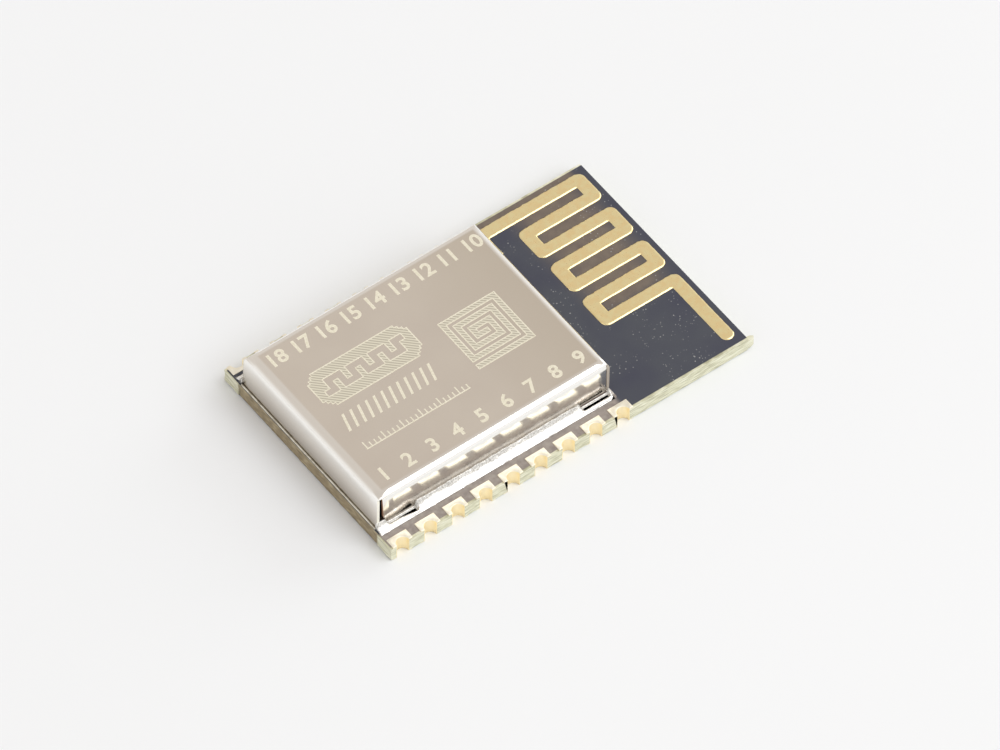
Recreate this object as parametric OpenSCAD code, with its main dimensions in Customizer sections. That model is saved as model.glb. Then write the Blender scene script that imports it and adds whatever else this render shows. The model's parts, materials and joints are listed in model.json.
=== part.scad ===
// Castellated radio module: a laminate board with half-hole pads, a meander antenna
// and a folded shield can over the radio chip, its crystal and its passives.
// Frame: +X along the board towards the antenna, +Z up, origin at the centre of the
// board's underside. The front row of pads is on the -Y edge.

/* [Board] */
// From the middle of the last pad to the far short edge, which the antenna fills
antenna_end = 6.87; // [5.5:0.01:10]
// Width of the board across its two rows of pads
board_w = 12.3; // [11:0.1:18]
// Thickness of the bare laminate
laminate_t = 0.74; // [0.4:0.02:1.6]
// Thickness of each solder mask film
mask_t = 0.03; // [0.02:0.005:0.05]
// Bare strip along the long edges where the mask stops short
mask_setback = 0.12; // [0.05:0.01:0.25]
// How far the two snapped tabs stand out of the near short edge
tab_out = 0.08; // [0.02:0.01:0.3]
// Width of each snapped tab
tab_w = 1.05; // [0.5:0.05:2]
// How far the broken stub stands out at the front antenna corner
stub_out = 0.4; // [0.1:0.05:0.8]

/* [Pads] */
// Distance between neighbouring pads
pad_pitch = 1.5; // [1.27:0.01:2]
// From the near short edge to the side of the first pad
pad_in = 0.055; // [0.02:0.005:0.9]
// Width of a pad along the edge
pad_w = 1.05; // [0.8:0.01:1.26]
// Depth of a pad's land on the top face
pad_d = 0.53; // [0.45:0.01:0.6]
// Depth of a pad's land on the underside
pad_under_d = 0.9; // [0.6:0.05:1.2]
// Radius of the drilled half hole
hole_r = 0.35; // [0.25:0.01:0.4]
// Thickness of the plating inside the half hole
plating_t = 0.03; // [0.02:0.005:0.05]
// Thickness of the gold-plated copper on the top face
copper_t = 0.07; // [0.05:0.005:0.1]

/* [Antenna] */
// Width of the antenna trace
trace_w = 0.67; // [0.5:0.01:0.82]
// Slot inside each loop
loop_slot = 0.46; // [0.35:0.01:0.6]
// Slot inside each turn back
turn_slot = 0.54; // [0.35:0.01:0.7]
// From the middle of the last pad to the near ends of the loops
loop_clear = 2.19; // [2:0.01:3]
// From the far short edge to the antenna
antenna_in = 0.26; // [0.2:0.01:0.5]
// From the rear long edge to the antenna's first arm
arm_in = 0.385; // [0.3:0.005:0.6]
// Rounding of the trace's outer corners
corner_r = 0.36; // [0.1:0.01:0.45]
// From the front long edge to the end of the antenna's tail
tail_in = 0.45; // [0.3:0.01:2]
// Width of the feed line that runs in under the can
feed_w = 0.45; // [0.3:0.01:0.5]
// From the last rear pad to the riser that joins the feed line to the first arm
riser_gap = 0.105; // [0.1:0.005:0.4]

/* [Shield can] */
// Gap between the near short edge and the can
can_in = 0.145; // [0.13:0.005:1]
// How far the can reaches past the middle of the last pad
can_past = 0.185; // [0:0.005:0.2]
// Gap between the front long edge and the can
can_front = 1.3; // [1.2:0.01:2]
// Gap between the rear long edge and the can
can_rear = 1.13; // [1.13:0.01:2]
// Height of the can above the board
can_h = 2.1; // [1.7:0.05:3]
// Thickness of its sheet
sheet_t = 0.15; // [0.1:0.01:0.2]
// Outer radius of its bends
bend_r = 0.38; // [0.21:0.01:0.45]
// Open seam at each corner
seam = 0.09; // [0.05:0.01:0.2]
// Radius of the relief at the head of each seam
relief_r = 0.1; // [0.05:0.01:0.15]
// Gap under the walls
foot_gap = 0.06; // [0.05:0.01:0.15]
// Height of the notch over the antenna feed
notch_h = 0.45; // [0.3:0.01:0.8]
// Length of the open slot at the near end of each long wall
slot_near = 2; // [0.5:0.05:3]
// Length of the open slot at the antenna end of each long wall
slot_far = 1.65; // [0.5:0.05:3]

/* [Ground ring and solder] */
// Ring beyond the can's long walls
ring_side = 0.46; // [0.4:0.01:0.48]
// Ring beyond the can's near wall
ring_near = 0.1; // [0.08:0.01:0.12]
// Ring beyond the can's antenna wall
ring_far = 0.12; // [0.1:0.01:0.2]
// Ring inside the can's walls
ring_inner = 0.25; // [0.2:0.01:0.4]
// Thickness of the ring
ring_t = 0.04; // [0.03:0.005:0.05]
// Height of the solder bead
bead_h = 0.12; // [0.08:0.01:0.15]
// Width of the solder bead on the long sides
bead_w = 0.34; // [0.26:0.01:0.38]
// Size of the fillet that joins the bead to a long wall
fillet_r = 0.32; // [0.2:0.01:0.4]

/* [Parts under the can] */
// Side of the square radio chip
chip_s = 5; // [4:0.1:5.2]
// Height of the radio chip
chip_h = 0.85; // [0.6:0.05:1.2]
// From the chip's edge to its thermal pad
paddle_in = 0.65; // [0.5:0.05:1.5]
// Distance between the chip's terminals
terminal_pitch = 0.5; // [0.4:0.01:0.55]
// Length of the crystal
crystal_l = 3.2; // [2:0.1:3.4]
// Width of the crystal
crystal_w = 2.5; // [1.6:0.1:2.6]
// Height of the crystal
crystal_h = 0.7; // [0.5:0.05:0.9]
// Length of a small passive
passive_l = 1; // [0.6:0.1:1.2]
// Width and height of a small passive
passive_s = 0.5; // [0.3:0.05:0.55]

/* [Hidden] */
$fn = 48;
PADS_A_SIDE = 9;
CAPACITORS = 6;
RESISTORS = 3;
INDUCTORS = 2;
CUT = 1;                        // how far a cutting shape runs past what it cuts

function two(n) = n < 10 ? str("0", n) : str(n);

// Levels, from the underside up
laminate_z = mask_t;
face_z = laminate_z + laminate_t;      // top of the laminate
mask_z = face_z + mask_t;              // top of the mask
ring_z = face_z + ring_t;

// Board edges
pad_first = pad_in + pad_w / 2;         // to the middle of the first pad
board_l = pad_first + (PADS_A_SIDE - 1) * pad_pitch + antenna_end;
near_x = -board_l / 2;
far_x = board_l / 2;
side_y = board_w / 2;

// Can
can_x0 = near_x + can_in;
can_x1 = far_x - antenna_end + can_past;
can_l = can_x1 - can_x0;
can_w = board_w - can_front - can_rear;
can_y = can_w / 2;                     // from the can's middle line to a long wall
can_mid_x = (can_x0 + can_x1) / 2;
can_mid_y = (can_front - can_rear) / 2;
can_z = mask_z + can_h;
foot_z = ring_z + foot_gap;
wall_x0 = can_x0 + sheet_t + seam;     // the long walls stand between the end walls
wall_x1 = can_x1 - sheet_t - seam;

// Antenna
loop_x1 = far_x - antenna_in;
loop_x0 = far_x - antenna_end + loop_clear;
ARMS = 7;
feed_gap = 0.2;                        // on each side of the feed, where it passes the ring
feed_in = 0.4;                         // the feed line's run inside the can
riser_x0 = far_x - antenna_end + pad_w / 2 + riser_gap;
feed_y = can_mid_y + can_y - sheet_t - ring_inner - passive_s / 2 - 0.1;
feed_x0 = can_x1 - sheet_t - ring_inner - feed_in;
function arm_top(i) =
    side_y - arm_in - i * trace_w - ceil(i / 2) * loop_slot - floor(i / 2) * turn_slot;
function arm_bottom(i) = arm_top(i) - trace_w;
tail_y = -side_y + tail_in;

// Under the can
part_gap = 0.45;                       // space kept around the chip
paddle_s = chip_s - 2 * paddle_in;
paddle_h = 0.2;
lid_t = 0.1;                           // thickness of the crystal's lid
passive = [passive_l, passive_s, passive_s];
flat_passive = [passive_l, passive_s, passive_s * 0.7];
end_l = 0.25;                          // length of a passive's plated end
end_t = 0.03;                          // thickness of its plating
land_out = 0.15;                       // how far a land shows beyond its part
chip_x = can_x0 + sheet_t + ring_inner + passive_s + 2 * part_gap + chip_s / 2;
chip_y = can_mid_y - (part_gap + crystal_w) / 2;   // the crystal lies behind the chip
crystal_x = chip_x - chip_s / 2 + crystal_l / 2;
crystal_y = chip_y + chip_s / 2 + part_gap + crystal_w / 2;
row_x = chip_x + chip_s / 2 + part_gap + passive_l / 2 + land_out;
column_x = chip_x - chip_s / 2 - part_gap - passive_s / 2;
feed_part_x = feed_x0 - passive_l / 2 - land_out;
feed_part_step = passive_l + 2 * land_out + 0.2;
row_step = passive_s + 0.6;
// Places of the passives: [x, y, turn]
CAPACITOR_AT = [
    [column_x, chip_y - 1.6, 90],
    [column_x, chip_y, 90],
    [column_x, chip_y + 1.6, 90],
    [crystal_x + crystal_l / 2 + part_gap + passive_s, crystal_y - 0.2, 90],
    [row_x, chip_y - chip_s / 2 + passive_s, 0],
    [feed_part_x - feed_part_step, feed_y, 0]
];
RESISTOR_AT = [for (i = [1:RESISTORS])
    [row_x, chip_y - chip_s / 2 + passive_s + i * row_step, 0]];
INDUCTOR_AT = [
    [feed_part_x, feed_y, 0],
    [feed_part_x - feed_part_step / 2, feed_y - passive_s / 2 - row_step, 90]
];

// ---- Shared shapes

module tube_2d(outer, inner) {
    difference() {
        circle(r = outer);
        circle(r = inner);
    }
}

// A box centred in X and Y, standing on z
module block(size, z = 0) {
    translate([-size.x / 2, -size.y / 2, z]) cube(size);
}

// What a rounded outer corner loses; (sx, sy) points out of the corner at (x, y)
module corner_loss(x, y, sx, sy, r) {
    difference() {
        translate([min(x, x - sx * r), min(y, y - sy * r)]) square(r);
        translate([x - sx * r, y - sy * r]) circle(r = r);
    }
}

// The middle of a pad on the board's edge: the front row runs towards the antenna,
// and the rear row runs back
function pad_x(n) = near_x + pad_first
    + pad_pitch * (n <= PADS_A_SIDE ? n - 1 : 2 * PADS_A_SIDE - n);
function pad_side(n) = n <= PADS_A_SIDE ? -1 : 1;

module at_pad(n) {
    translate([pad_x(n), pad_side(n) * side_y, 0])
        mirror([0, pad_side(n) > 0 ? 1 : 0, 0]) children();
}

// ---- Board

module land_2d(depth) {
    translate([-pad_w / 2, 0]) square([pad_w, depth]);
}

module board_outline() {
    translate([near_x, -side_y]) square([board_l, board_w]);
    for (side = [-1, 1])
        translate([near_x - tab_out, side > 0 ? side_y - tab_w : -side_y])
            square([tab_out + tab_w, tab_w]);
}

// The broken stub, with a slanted outer end and a thin root
module break_stub() {
    stub_w = 0.3;
    stub_z = 0.1;
    stub_h = 0.5;
    translate([far_x, -side_y, stub_z]) linear_extrude(stub_h)
        polygon([[-stub_w, 0], [stub_out * 0.5, 0], [stub_out * 0.9, stub_w * 0.2],
                 [stub_out, stub_w * 0.5], [stub_out * 0.7, stub_w * 0.8],
                 [0, stub_w], [-stub_w, stub_w]]);
}

module pcb_substrate() {
    color("khaki") difference() {
        union() {
            translate([0, 0, laminate_z]) linear_extrude(laminate_t) board_outline();
            break_stub();
        }
        for (n = [1:2 * PADS_A_SIDE])
            at_pad(n) translate([0, 0, -CUT])
                cylinder(r = hole_r, h = laminate_t + 2 * CUT);
    }
}

module mask_outline() {
    translate([near_x, -side_y + mask_setback])
        square([board_l, board_w - 2 * mask_setback]);
}

module solder_mask_top() {
    color("#33353b") translate([0, 0, face_z]) linear_extrude(mask_t) difference() {
        mask_outline();
        for (n = [1:2 * PADS_A_SIDE]) at_pad(n) land_2d(pad_d);
        ring_2d();
        antenna_2d();
        lands_2d();
    }
}

module solder_mask_bottom() {
    color("#33353b") linear_extrude(mask_t) difference() {
        mask_outline();
        for (n = [1:2 * PADS_A_SIDE]) at_pad(n) land_2d(pad_under_d);
    }
}

// A castellated pad: a land on each face, joined by the plated wall of the half hole
module pad(n) {
    color("#dec596") at_pad(n) {
        translate([0, 0, face_z]) linear_extrude(copper_t) difference() {
            land_2d(pad_d);
            circle(r = hole_r - plating_t);
        }
        linear_extrude(face_z + copper_t) intersection() {
            tube_2d(hole_r, hole_r - plating_t);
            land_2d(pad_d);
        }
        linear_extrude(laminate_z) difference() {
            land_2d(pad_under_d);
            circle(r = hole_r - plating_t);
        }
    }
}

// ---- Antenna

module antenna_2d() {
    difference() {
        union() {
            // feed line in under the can, and its riser to the first arm
            translate([feed_x0, feed_y - feed_w / 2])
                square([riser_x0 + feed_w - feed_x0, feed_w]);
            translate([riser_x0, feed_y - feed_w / 2])
                square([feed_w, arm_top(0) - feed_y + feed_w / 2]);
            for (i = [0:ARMS - 1]) {
                x0 = i == 0 ? riser_x0 : loop_x0;
                translate([x0, arm_bottom(i)]) square([loop_x1 - x0, trace_w]);
            }
            for (i = [0:2:ARMS - 3])
                translate([loop_x1 - trace_w, arm_bottom(i + 1)])
                    square([trace_w, arm_top(i) - arm_bottom(i + 1)]);
            for (i = [1:2:ARMS - 2])
                translate([loop_x0, arm_bottom(i + 1)])
                    square([trace_w, arm_top(i) - arm_bottom(i + 1)]);
            // tail along the far edge, with a round end
            translate([loop_x1 - trace_w, tail_y + trace_w / 2])
                square([trace_w, arm_top(ARMS - 1) - tail_y - trace_w / 2]);
            translate([loop_x1 - trace_w / 2, tail_y + trace_w / 2])
                circle(r = trace_w / 2);
        }
        corner_loss(riser_x0, arm_top(0), -1, 1, corner_r);
        for (i = [0:2:ARMS - 1]) corner_loss(loop_x1, arm_top(i), 1, 1, corner_r);
        for (i = [1:2:ARMS - 2]) {
            corner_loss(loop_x1, arm_bottom(i), 1, -1, corner_r);
            corner_loss(loop_x0, arm_top(i), -1, 1, corner_r);
            corner_loss(loop_x0, arm_bottom(i + 1), -1, -1, corner_r);
        }
    }
}

module antenna_trace() {
    color("#dec596") translate([0, 0, face_z]) linear_extrude(copper_t) antenna_2d();
}

// ---- Ground ring, solder and can

module ring_2d() {
    ring_y = can_y + ring_side;
    ring_x0 = can_x0 - ring_near;
    ring_x1 = can_x1 + ring_far;
    in_x0 = can_x0 + sheet_t + ring_inner;
    in_x1 = can_x1 - sheet_t - ring_inner;
    in_y = can_y - sheet_t - ring_inner;
    break_y = feed_w / 2 + feed_gap;
    translate([0, can_mid_y]) difference() {
        translate([ring_x0, -ring_y]) square([ring_x1 - ring_x0, 2 * ring_y]);
        translate([in_x0, -in_y]) square([in_x1 - in_x0, 2 * in_y]);
        translate([in_x1 - CUT, feed_y - can_mid_y - break_y])
            square([ring_x1 - in_x1 + 2 * CUT, 2 * break_y]);
        for (side = [-1, 1]) {
            corner_loss(ring_x1, side * ring_y, 1, side, ring_far);
            corner_loss(ring_x0, side * ring_y, -1, side, ring_near);
        }
    }
}

module ground_ring() {
    color("#d8d4c8") translate([0, 0, face_z]) linear_extrude(ring_t) ring_2d();
}

// The domed section of a bead, w wide and h high, on the line y = 0
module bead_2d(w, h) {
    dome_r = (w * w / 4 + h * h) / (2 * h);
    intersection() {
        translate([0, h - dome_r]) circle(r = dome_r);
        translate([-w / 2, 0]) square([w, h]);
    }
}

// A bead from the origin along +X, with round ends
module bead(length, w, h) {
    translate([w / 2, 0, 0]) rotate([90, 0, 90]) linear_extrude(length - w) bead_2d(w, h);
    for (x = [w / 2, length - w / 2])
        translate([x, 0, 0]) rotate_extrude() intersection() {
            bead_2d(w, h);
            square([w, h]);
        }
}

// Solder along a long wall: a bead on the ring, and a hollow fillet up the wall
// between the wall's two slots
module solder_long() {
    bead_y = can_y + ring_side - bead_w / 2;
    bead_x0 = can_x0;
    bead_x1 = can_x1 + ring_far;
    fillet_x0 = can_x0 + slot_near;
    fillet_l = can_l - slot_near - slot_far;
    translate([bead_x0, bead_y, ring_z]) bead(bead_x1 - bead_x0, bead_w, bead_h);
    translate([fillet_x0, can_y, ring_z]) rotate([90, 0, 90]) linear_extrude(fillet_l)
        difference() {
            square(fillet_r);
            translate([fillet_r, fillet_r]) circle(r = fillet_r * 0.95);
        }
}

module solder_front() {
    color("#efebe2") translate([0, can_mid_y, 0]) mirror([0, 1, 0]) solder_long();
}

module solder_rear() {
    color("#efebe2") translate([0, can_mid_y, 0]) solder_long();
}

module solder_near_end() {
    near_w = ring_near;
    near_h = near_w * 0.45;
    color("#efebe2")
        translate([can_x0 - ring_near + near_w / 2, can_mid_y - can_y, ring_z])
            rotate([0, 0, 90]) bead(can_w, near_w, near_h);
}

module solder_antenna_end() {
    far_w = ring_far;
    far_h = far_w * 0.45;
    gap_y = feed_y - feed_w / 2 - feed_gap;
    length = gap_y - can_mid_y + can_y;
    color("#efebe2") translate([can_x1 + far_w / 2, can_mid_y - can_y, ring_z])
        rotate([0, 0, 90]) bead(length, far_w, far_h);
}

// The can's outer section: w wide, with its two upper corners bent
module can_section(w, top, r) {
    for (side = [-1, 1]) translate([side * (w / 2 - r), top - r]) circle(r = r);
    translate([-w / 2, 0]) square([w, top - r]);
    translate([-w / 2 + r, 0]) square([w - 2 * r, top]);
}

// A folded channel: two walls and the top between them
module channel_2d(w) {
    difference() {
        can_section(w, can_z, bend_r);
        can_section(w - 2 * sheet_t, can_z - sheet_t, bend_r - sheet_t);
    }
}

module along_x(x0, x1) {
    translate([x0, 0, 0]) rotate([90, 0, 90]) linear_extrude(x1 - x0) children();
}

module along_y(y0, y1, mid_x) {
    translate([mid_x, y1, 0]) rotate([90, 0, 0]) linear_extrude(y1 - y0) children();
}

module shield_can() {
    color("#c3b7a8") translate([0, can_mid_y, 0]) difference() {
        union() {
            along_x(wall_x0, wall_x1) channel_2d(can_w);
            intersection() {
                along_y(-can_y, can_y, can_mid_x) channel_2d(can_l);
                along_x(can_x0, can_x1) can_section(can_w, can_z, bend_r);
            }
        }
        // everything under the walls' feet
        translate([can_x0 - CUT, -can_y - CUT, -CUT])
            cube([can_l + 2 * CUT, can_w + 2 * CUT, foot_z + CUT]);
        // reliefs at the heads of the four seams
        for (x = [can_x0 + sheet_t + seam / 2, can_x1 - sheet_t - seam / 2], side = [-1, 1])
            translate([x, side * can_y, can_z - bend_r])
                cylinder(r = relief_r, h = bend_r + CUT);
        // notch over the antenna feed
        translate([can_x1 - sheet_t - CUT,
                   feed_y - can_mid_y - feed_w / 2 - feed_gap, 0])
            cube([sheet_t + 2 * CUT, feed_w + 2 * feed_gap, mask_z + notch_h]);
        // low slots at both ends of the long walls
        for (side = [-1, 1]) translate([0, side * (can_y - sheet_t / 2), 0]) {
            translate([can_x0 + sheet_t, -sheet_t, 0])
                cube([slot_near - sheet_t, 2 * sheet_t, foot_z + foot_gap]);
            translate([can_x1 - slot_far, -sheet_t, 0])
                cube([slot_far - sheet_t, 2 * sheet_t, foot_z + foot_gap]);
        }
    }
}

// ---- Under the can

// The chip's terminals, one side, along its edge
module terminals(grow = 0) {
    terminal_w = 0.24;
    terminal_l = 0.4;
    terminal_h = 0.2;
    a_side = floor((chip_s - 2 * terminal_pitch) / terminal_pitch);
    for (turn = [0:90:270], i = [0:a_side - 1])
        rotate([0, 0, turn])
            translate([(i - (a_side - 1) / 2) * terminal_pitch - terminal_w / 2,
                       -chip_s / 2 - grow, -grow])
                cube([terminal_w, terminal_l + grow, terminal_h + grow]);
}

module at_chip() {
    translate([chip_x, chip_y, mask_z]) children();
}

module radio_chip() {
    mark_r = 0.25;
    mark_in = 0.7;
    color("#26262a") at_chip() difference() {
        block([chip_s, chip_s, chip_h]);
        terminals(CUT);
        block([paddle_s, paddle_s, paddle_h + CUT], -CUT);
        translate([-chip_s / 2 + mark_in, -chip_s / 2 + mark_in, chip_h - end_t])
            cylinder(r = mark_r, h = CUT);
    }
}

module radio_chip_terminals() {
    color("#c9c9c6") at_chip() terminals();
}

module radio_chip_paddle() {
    color("#c9c9c6") at_chip() block([paddle_s, paddle_s, paddle_h]);
}

module crystal_base() {
    color("#8a8378") translate([crystal_x, crystal_y, mask_z])
        block([crystal_l, crystal_w, crystal_h - lid_t]);
}

module crystal_lid() {
    lid_in = 0.25;
    color("#d9d7cf") translate([crystal_x, crystal_y, mask_z + crystal_h - lid_t])
        block([crystal_l - 2 * lid_in, crystal_w - 2 * lid_in, lid_t]);
}

// A passive's body, a little slimmer and shorter than its plated ends
module passive_body(size) {
    translate([0, 0, mask_z])
        block([size.x - 2 * end_t, size.y - 2 * end_t, size.z - 2 * end_t], end_t);
}

module passive_ends(size) {
    translate([0, 0, mask_z]) difference() {
        block(size);
        block([size.x - 2 * end_l, size.y + CUT, size.z + 2 * CUT], -CUT);
        block([size.x - 2 * end_t, size.y - 2 * end_t, size.z - 2 * end_t], end_t);
    }
}

module at_place(place) {
    translate([place.x, place.y, 0]) rotate([0, 0, place.z]) children();
}

module capacitor(i) {
    color("#a98c68") at_place(CAPACITOR_AT[i - 1]) passive_body(passive);
}
module capacitor_ends(i) {
    color("#cfcdc8") at_place(CAPACITOR_AT[i - 1]) passive_ends(passive);
}
module resistor(i) {
    color("#1e1e20") at_place(RESISTOR_AT[i - 1]) passive_body(flat_passive);
}
module resistor_ends(i) {
    color("#cfcdc8") at_place(RESISTOR_AT[i - 1]) passive_ends(flat_passive);
}
module inductor(i) {
    color("#4f6f86") at_place(INDUCTOR_AT[i - 1]) passive_body(passive);
}
module inductor_ends(i) {
    color("#cfcdc8") at_place(INDUCTOR_AT[i - 1]) passive_ends(passive);
}

module passive_lands_2d() {
    for (side = [-1, 1])
        translate([side > 0 ? passive_l / 2 - end_l : -passive_l / 2 - land_out,
                   -passive_s / 2])
            square([end_l + land_out, passive_s]);
}

module lands_2d() {
    for (place = concat(CAPACITOR_AT, RESISTOR_AT, INDUCTOR_AT))
        at_place(place) passive_lands_2d();
    translate([chip_x, chip_y]) square(paddle_s, center = true);
    translate([crystal_x, crystal_y]) {
        crystal_land = [1, 0.9];
        for (sx = [-1, 1], sy = [-1, 1])
            translate([sx * (crystal_l - crystal_land.x) / 2,
                       sy * (crystal_w - crystal_land.y) / 2])
                square(crystal_land, center = true);
    }
}

module component_lands() {
    color("#c98f5a") translate([0, 0, face_z]) linear_extrude(mask_t) lands_2d();
}

// ---- The parts, one at a time or all together

pcb_substrate();
solder_mask_top();
solder_mask_bottom();
antenna_trace();
ground_ring();
component_lands();
for (i = [1:2 * PADS_A_SIDE])
    pad(i);
solder_front();
solder_rear();
solder_near_end();
solder_antenna_end();
shield_can();
radio_chip();
radio_chip_terminals();
radio_chip_paddle();
crystal_base();
crystal_lid();
for (i = [1:CAPACITORS]) {
    capacitor(i);
    capacitor_ends(i);
}
for (i = [1:RESISTORS]) {
    resistor(i);
    resistor_ends(i);
}
for (i = [1:INDUCTORS]) {
    inductor(i);
    inductor_ends(i);
}
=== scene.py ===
import json
import math

import bmesh
import bpy
from mathutils import Matrix, Vector, noise


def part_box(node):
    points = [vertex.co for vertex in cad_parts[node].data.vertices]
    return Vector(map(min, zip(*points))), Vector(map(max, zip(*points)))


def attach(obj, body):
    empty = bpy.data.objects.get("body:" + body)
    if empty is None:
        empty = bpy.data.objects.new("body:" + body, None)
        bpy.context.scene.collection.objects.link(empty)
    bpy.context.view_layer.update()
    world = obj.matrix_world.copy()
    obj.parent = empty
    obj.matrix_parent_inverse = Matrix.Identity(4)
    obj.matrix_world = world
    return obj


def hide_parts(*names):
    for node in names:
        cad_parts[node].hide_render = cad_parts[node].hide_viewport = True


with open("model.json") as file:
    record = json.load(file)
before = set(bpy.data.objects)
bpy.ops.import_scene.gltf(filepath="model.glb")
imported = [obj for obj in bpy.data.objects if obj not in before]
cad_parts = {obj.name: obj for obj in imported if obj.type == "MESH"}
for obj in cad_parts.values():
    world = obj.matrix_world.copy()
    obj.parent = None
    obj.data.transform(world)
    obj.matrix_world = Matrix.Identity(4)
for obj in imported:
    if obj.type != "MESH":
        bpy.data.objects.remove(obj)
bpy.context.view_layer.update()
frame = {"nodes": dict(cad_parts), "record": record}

# ---- Bench, lights and camera
# The module lies on a plain white bench under two large soft lamps: one high at its front
# right, one lower beyond the antenna. The pale room is brightest near the horizon.

MM = 0.001
UP = Vector((0, 0, 1))


def on_object(thing, material):
    """Gives a piece its one material."""
    thing.data.materials.clear()
    thing.data.materials.append(material)


def new_piece(name, bm, material, smooth=True):
    """Turns a finished bmesh into an object of the scene, in place."""
    mesh = bpy.data.meshes.new(name)
    bm.to_mesh(mesh)
    bm.free()
    mesh.shade_smooth() if smooth else mesh.shade_flat()
    piece = bpy.data.objects.new(name, mesh)
    bpy.context.scene.collection.objects.link(piece)
    on_object(piece, material)
    return piece


def new_finish(name, **sockets):
    """A material with one Principled shader, its plain sockets set by name."""
    material = bpy.data.materials.new(name)
    material.use_nodes = True
    shader = material.node_tree.nodes["Principled BSDF"]
    for socket, value in sockets.items():
        shader.inputs[socket.replace("_", " ")].default_value = value
    return material, material.node_tree, shader


def node(tree, kind, **settings):
    """One shader node; a setting names a socket, or else a property of the node."""
    made = tree.nodes.new(kind)
    for name, value in settings.items():
        if hasattr(made, name):
            setattr(made, name, value)
        else:
            made.inputs[name.replace("_", " ")].default_value = value
    return made


def mottle(tree, size, detail=2.0, stretch=(1, 1, 1)):
    """Noise whose blotches are about as wide as size, from 0 to 1."""
    place = node(tree, "ShaderNodeTexCoord")
    turn = node(tree, "ShaderNodeMapping")
    turn.inputs["Scale"].default_value = [1 / (size * s) for s in stretch]
    speck = node(tree, "ShaderNodeTexNoise", Scale=1.0, Detail=detail)
    tree.links.new(place.outputs["Object"], turn.inputs["Vector"])
    tree.links.new(turn.outputs[0], speck.inputs["Vector"])
    return speck.outputs["Fac"]


def ramp(tree, factor, stops):
    """Colours or greys along a factor: stops are (place, colour)."""
    made = node(tree, "ShaderNodeValToRGB")
    spots = made.color_ramp.elements
    while len(spots) < len(stops):
        spots.new(0.5)
    for spot, (place, colour) in zip(spots, stops):
        spot.position = place
        spot.color = (*colour, 1) if isinstance(colour, tuple) else (colour,) * 3 + (1,)
    tree.links.new(factor, made.inputs["Fac"])
    return made.outputs["Color"]


def blend_colours(tree, factor, first, second, how="MIX"):
    """Mixes two colours, given as sockets or as plain values."""
    made = node(tree, "ShaderNodeMix", data_type="RGBA", blend_type=how)
    for value, place in ((factor, 0), (first, 6), (second, 7)):
        if isinstance(value, bpy.types.NodeSocket):
            tree.links.new(value, made.inputs[place])
        elif isinstance(value, tuple):
            made.inputs[place].default_value = (*value, 1)
        else:
            made.inputs[place].default_value = value
    return made.outputs[2]


def emboss(tree, shader, height, depth, strength=1.0):
    """Raises a surface by a height from 0 to 1, depth metres high."""
    bump = node(tree, "ShaderNodeBump", Distance=depth, Strength=strength)
    tree.links.new(height, bump.inputs["Height"])
    tree.links.new(bump.outputs[0], shader.inputs["Normal"])


bench_half = 1.5
bm = bmesh.new()
bmesh.ops.create_grid(bm, x_segments=1, y_segments=1, size=bench_half)
bmesh.ops.translate(bm, verts=bm.verts, vec=(0, 0, -0.01 * MM))
bench_paint, tree, shader = new_finish("bench_white", Roughness=0.9, Specular_IOR_Level=0.0)
shade = ramp(tree, mottle(tree, 40 * MM), [(0.3, (0.865, 0.89, 0.92)), (0.7, (0.875, 0.90, 0.93))])
tree.links.new(shade, shader.inputs["Base Color"])
new_piece("bench", bm, bench_paint)

room = bpy.data.worlds.new("pale_room")
bpy.context.scene.world = room
room.use_nodes = True
tree = room.node_tree
place = node(tree, "ShaderNodeTexCoord")
split = node(tree, "ShaderNodeSeparateXYZ")
tree.links.new(place.outputs["Generated"], split.inputs[0])
glow = ramp(tree, split.outputs["Z"], [(0.0, (1.02, 1.02, 1.02)), (0.3, (0.97, 0.97, 0.965)),
                                       (0.72, (0.655, 0.605, 0.555)), (1.0, (0.62, 0.575, 0.53))])
rearward = node(tree, "ShaderNodeMapRange", From_Min=0.35, From_Max=0.75)
tree.links.new(split.outputs["Y"], rearward.inputs["Value"])
dimmed = blend_colours(tree, rearward.outputs[0], glow, (0.68, 0.635, 0.59))
tree.links.new(dimmed, tree.nodes["Background"].inputs["Color"])


def softbox(name, towards, away, side, glow):
    """A square soft lamp in a direction, as bright to look at as its glow."""
    lamp = bpy.data.lights.new(name, "AREA")
    lamp.shape = "SQUARE"
    lamp.size = side
    lamp.energy = glow * math.pi * side ** 2
    lamp.color = (0.975, 0.99, 1.0)
    holder = bpy.data.objects.new(name, lamp)
    bpy.context.scene.collection.objects.link(holder)
    holder.location = Vector(towards).normalized() * away
    holder.rotation_mode = "QUATERNION"
    holder.rotation_quaternion = (-holder.location).to_track_quat("-Z", "Y")


softbox("front_softbox", (0.373, -0.486, 0.79), 0.8, 0.63, 2.4)
softbox("end_softbox", (0.94, 0.0, 0.34), 0.8, 0.40, 2.0)

eye_azimuth = math.radians(-37.52)
eye_height = math.radians(52.24)
eye_roll = math.radians(0.884)
eye_away = 525.8 * MM
looks_at = Vector((-0.250, -1.278, 0.8)) * MM
back = Vector((math.sin(eye_azimuth) * math.cos(eye_height),
               -math.cos(eye_azimuth) * math.cos(eye_height), math.sin(eye_height)))
level = Vector((math.cos(eye_azimuth), math.sin(eye_azimuth), 0))
rise = back.cross(level)
right = level * math.cos(eye_roll) + rise * math.sin(eye_roll)
over = rise * math.cos(eye_roll) - level * math.sin(eye_roll)
eye = bpy.data.cameras.new("eye")
eye.sensor_width = 36
eye.lens = 432
eye.clip_start = 0.01
camera = bpy.data.objects.new("eye", eye)
bpy.context.scene.collection.objects.link(camera)
camera.matrix_world = Matrix.Translation(looks_at + back * eye_away) @ Matrix(
    (right, over, back)).transposed().to_4x4()
bpy.context.scene.camera = camera
bpy.context.scene.view_settings.view_transform = "Standard"

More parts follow.
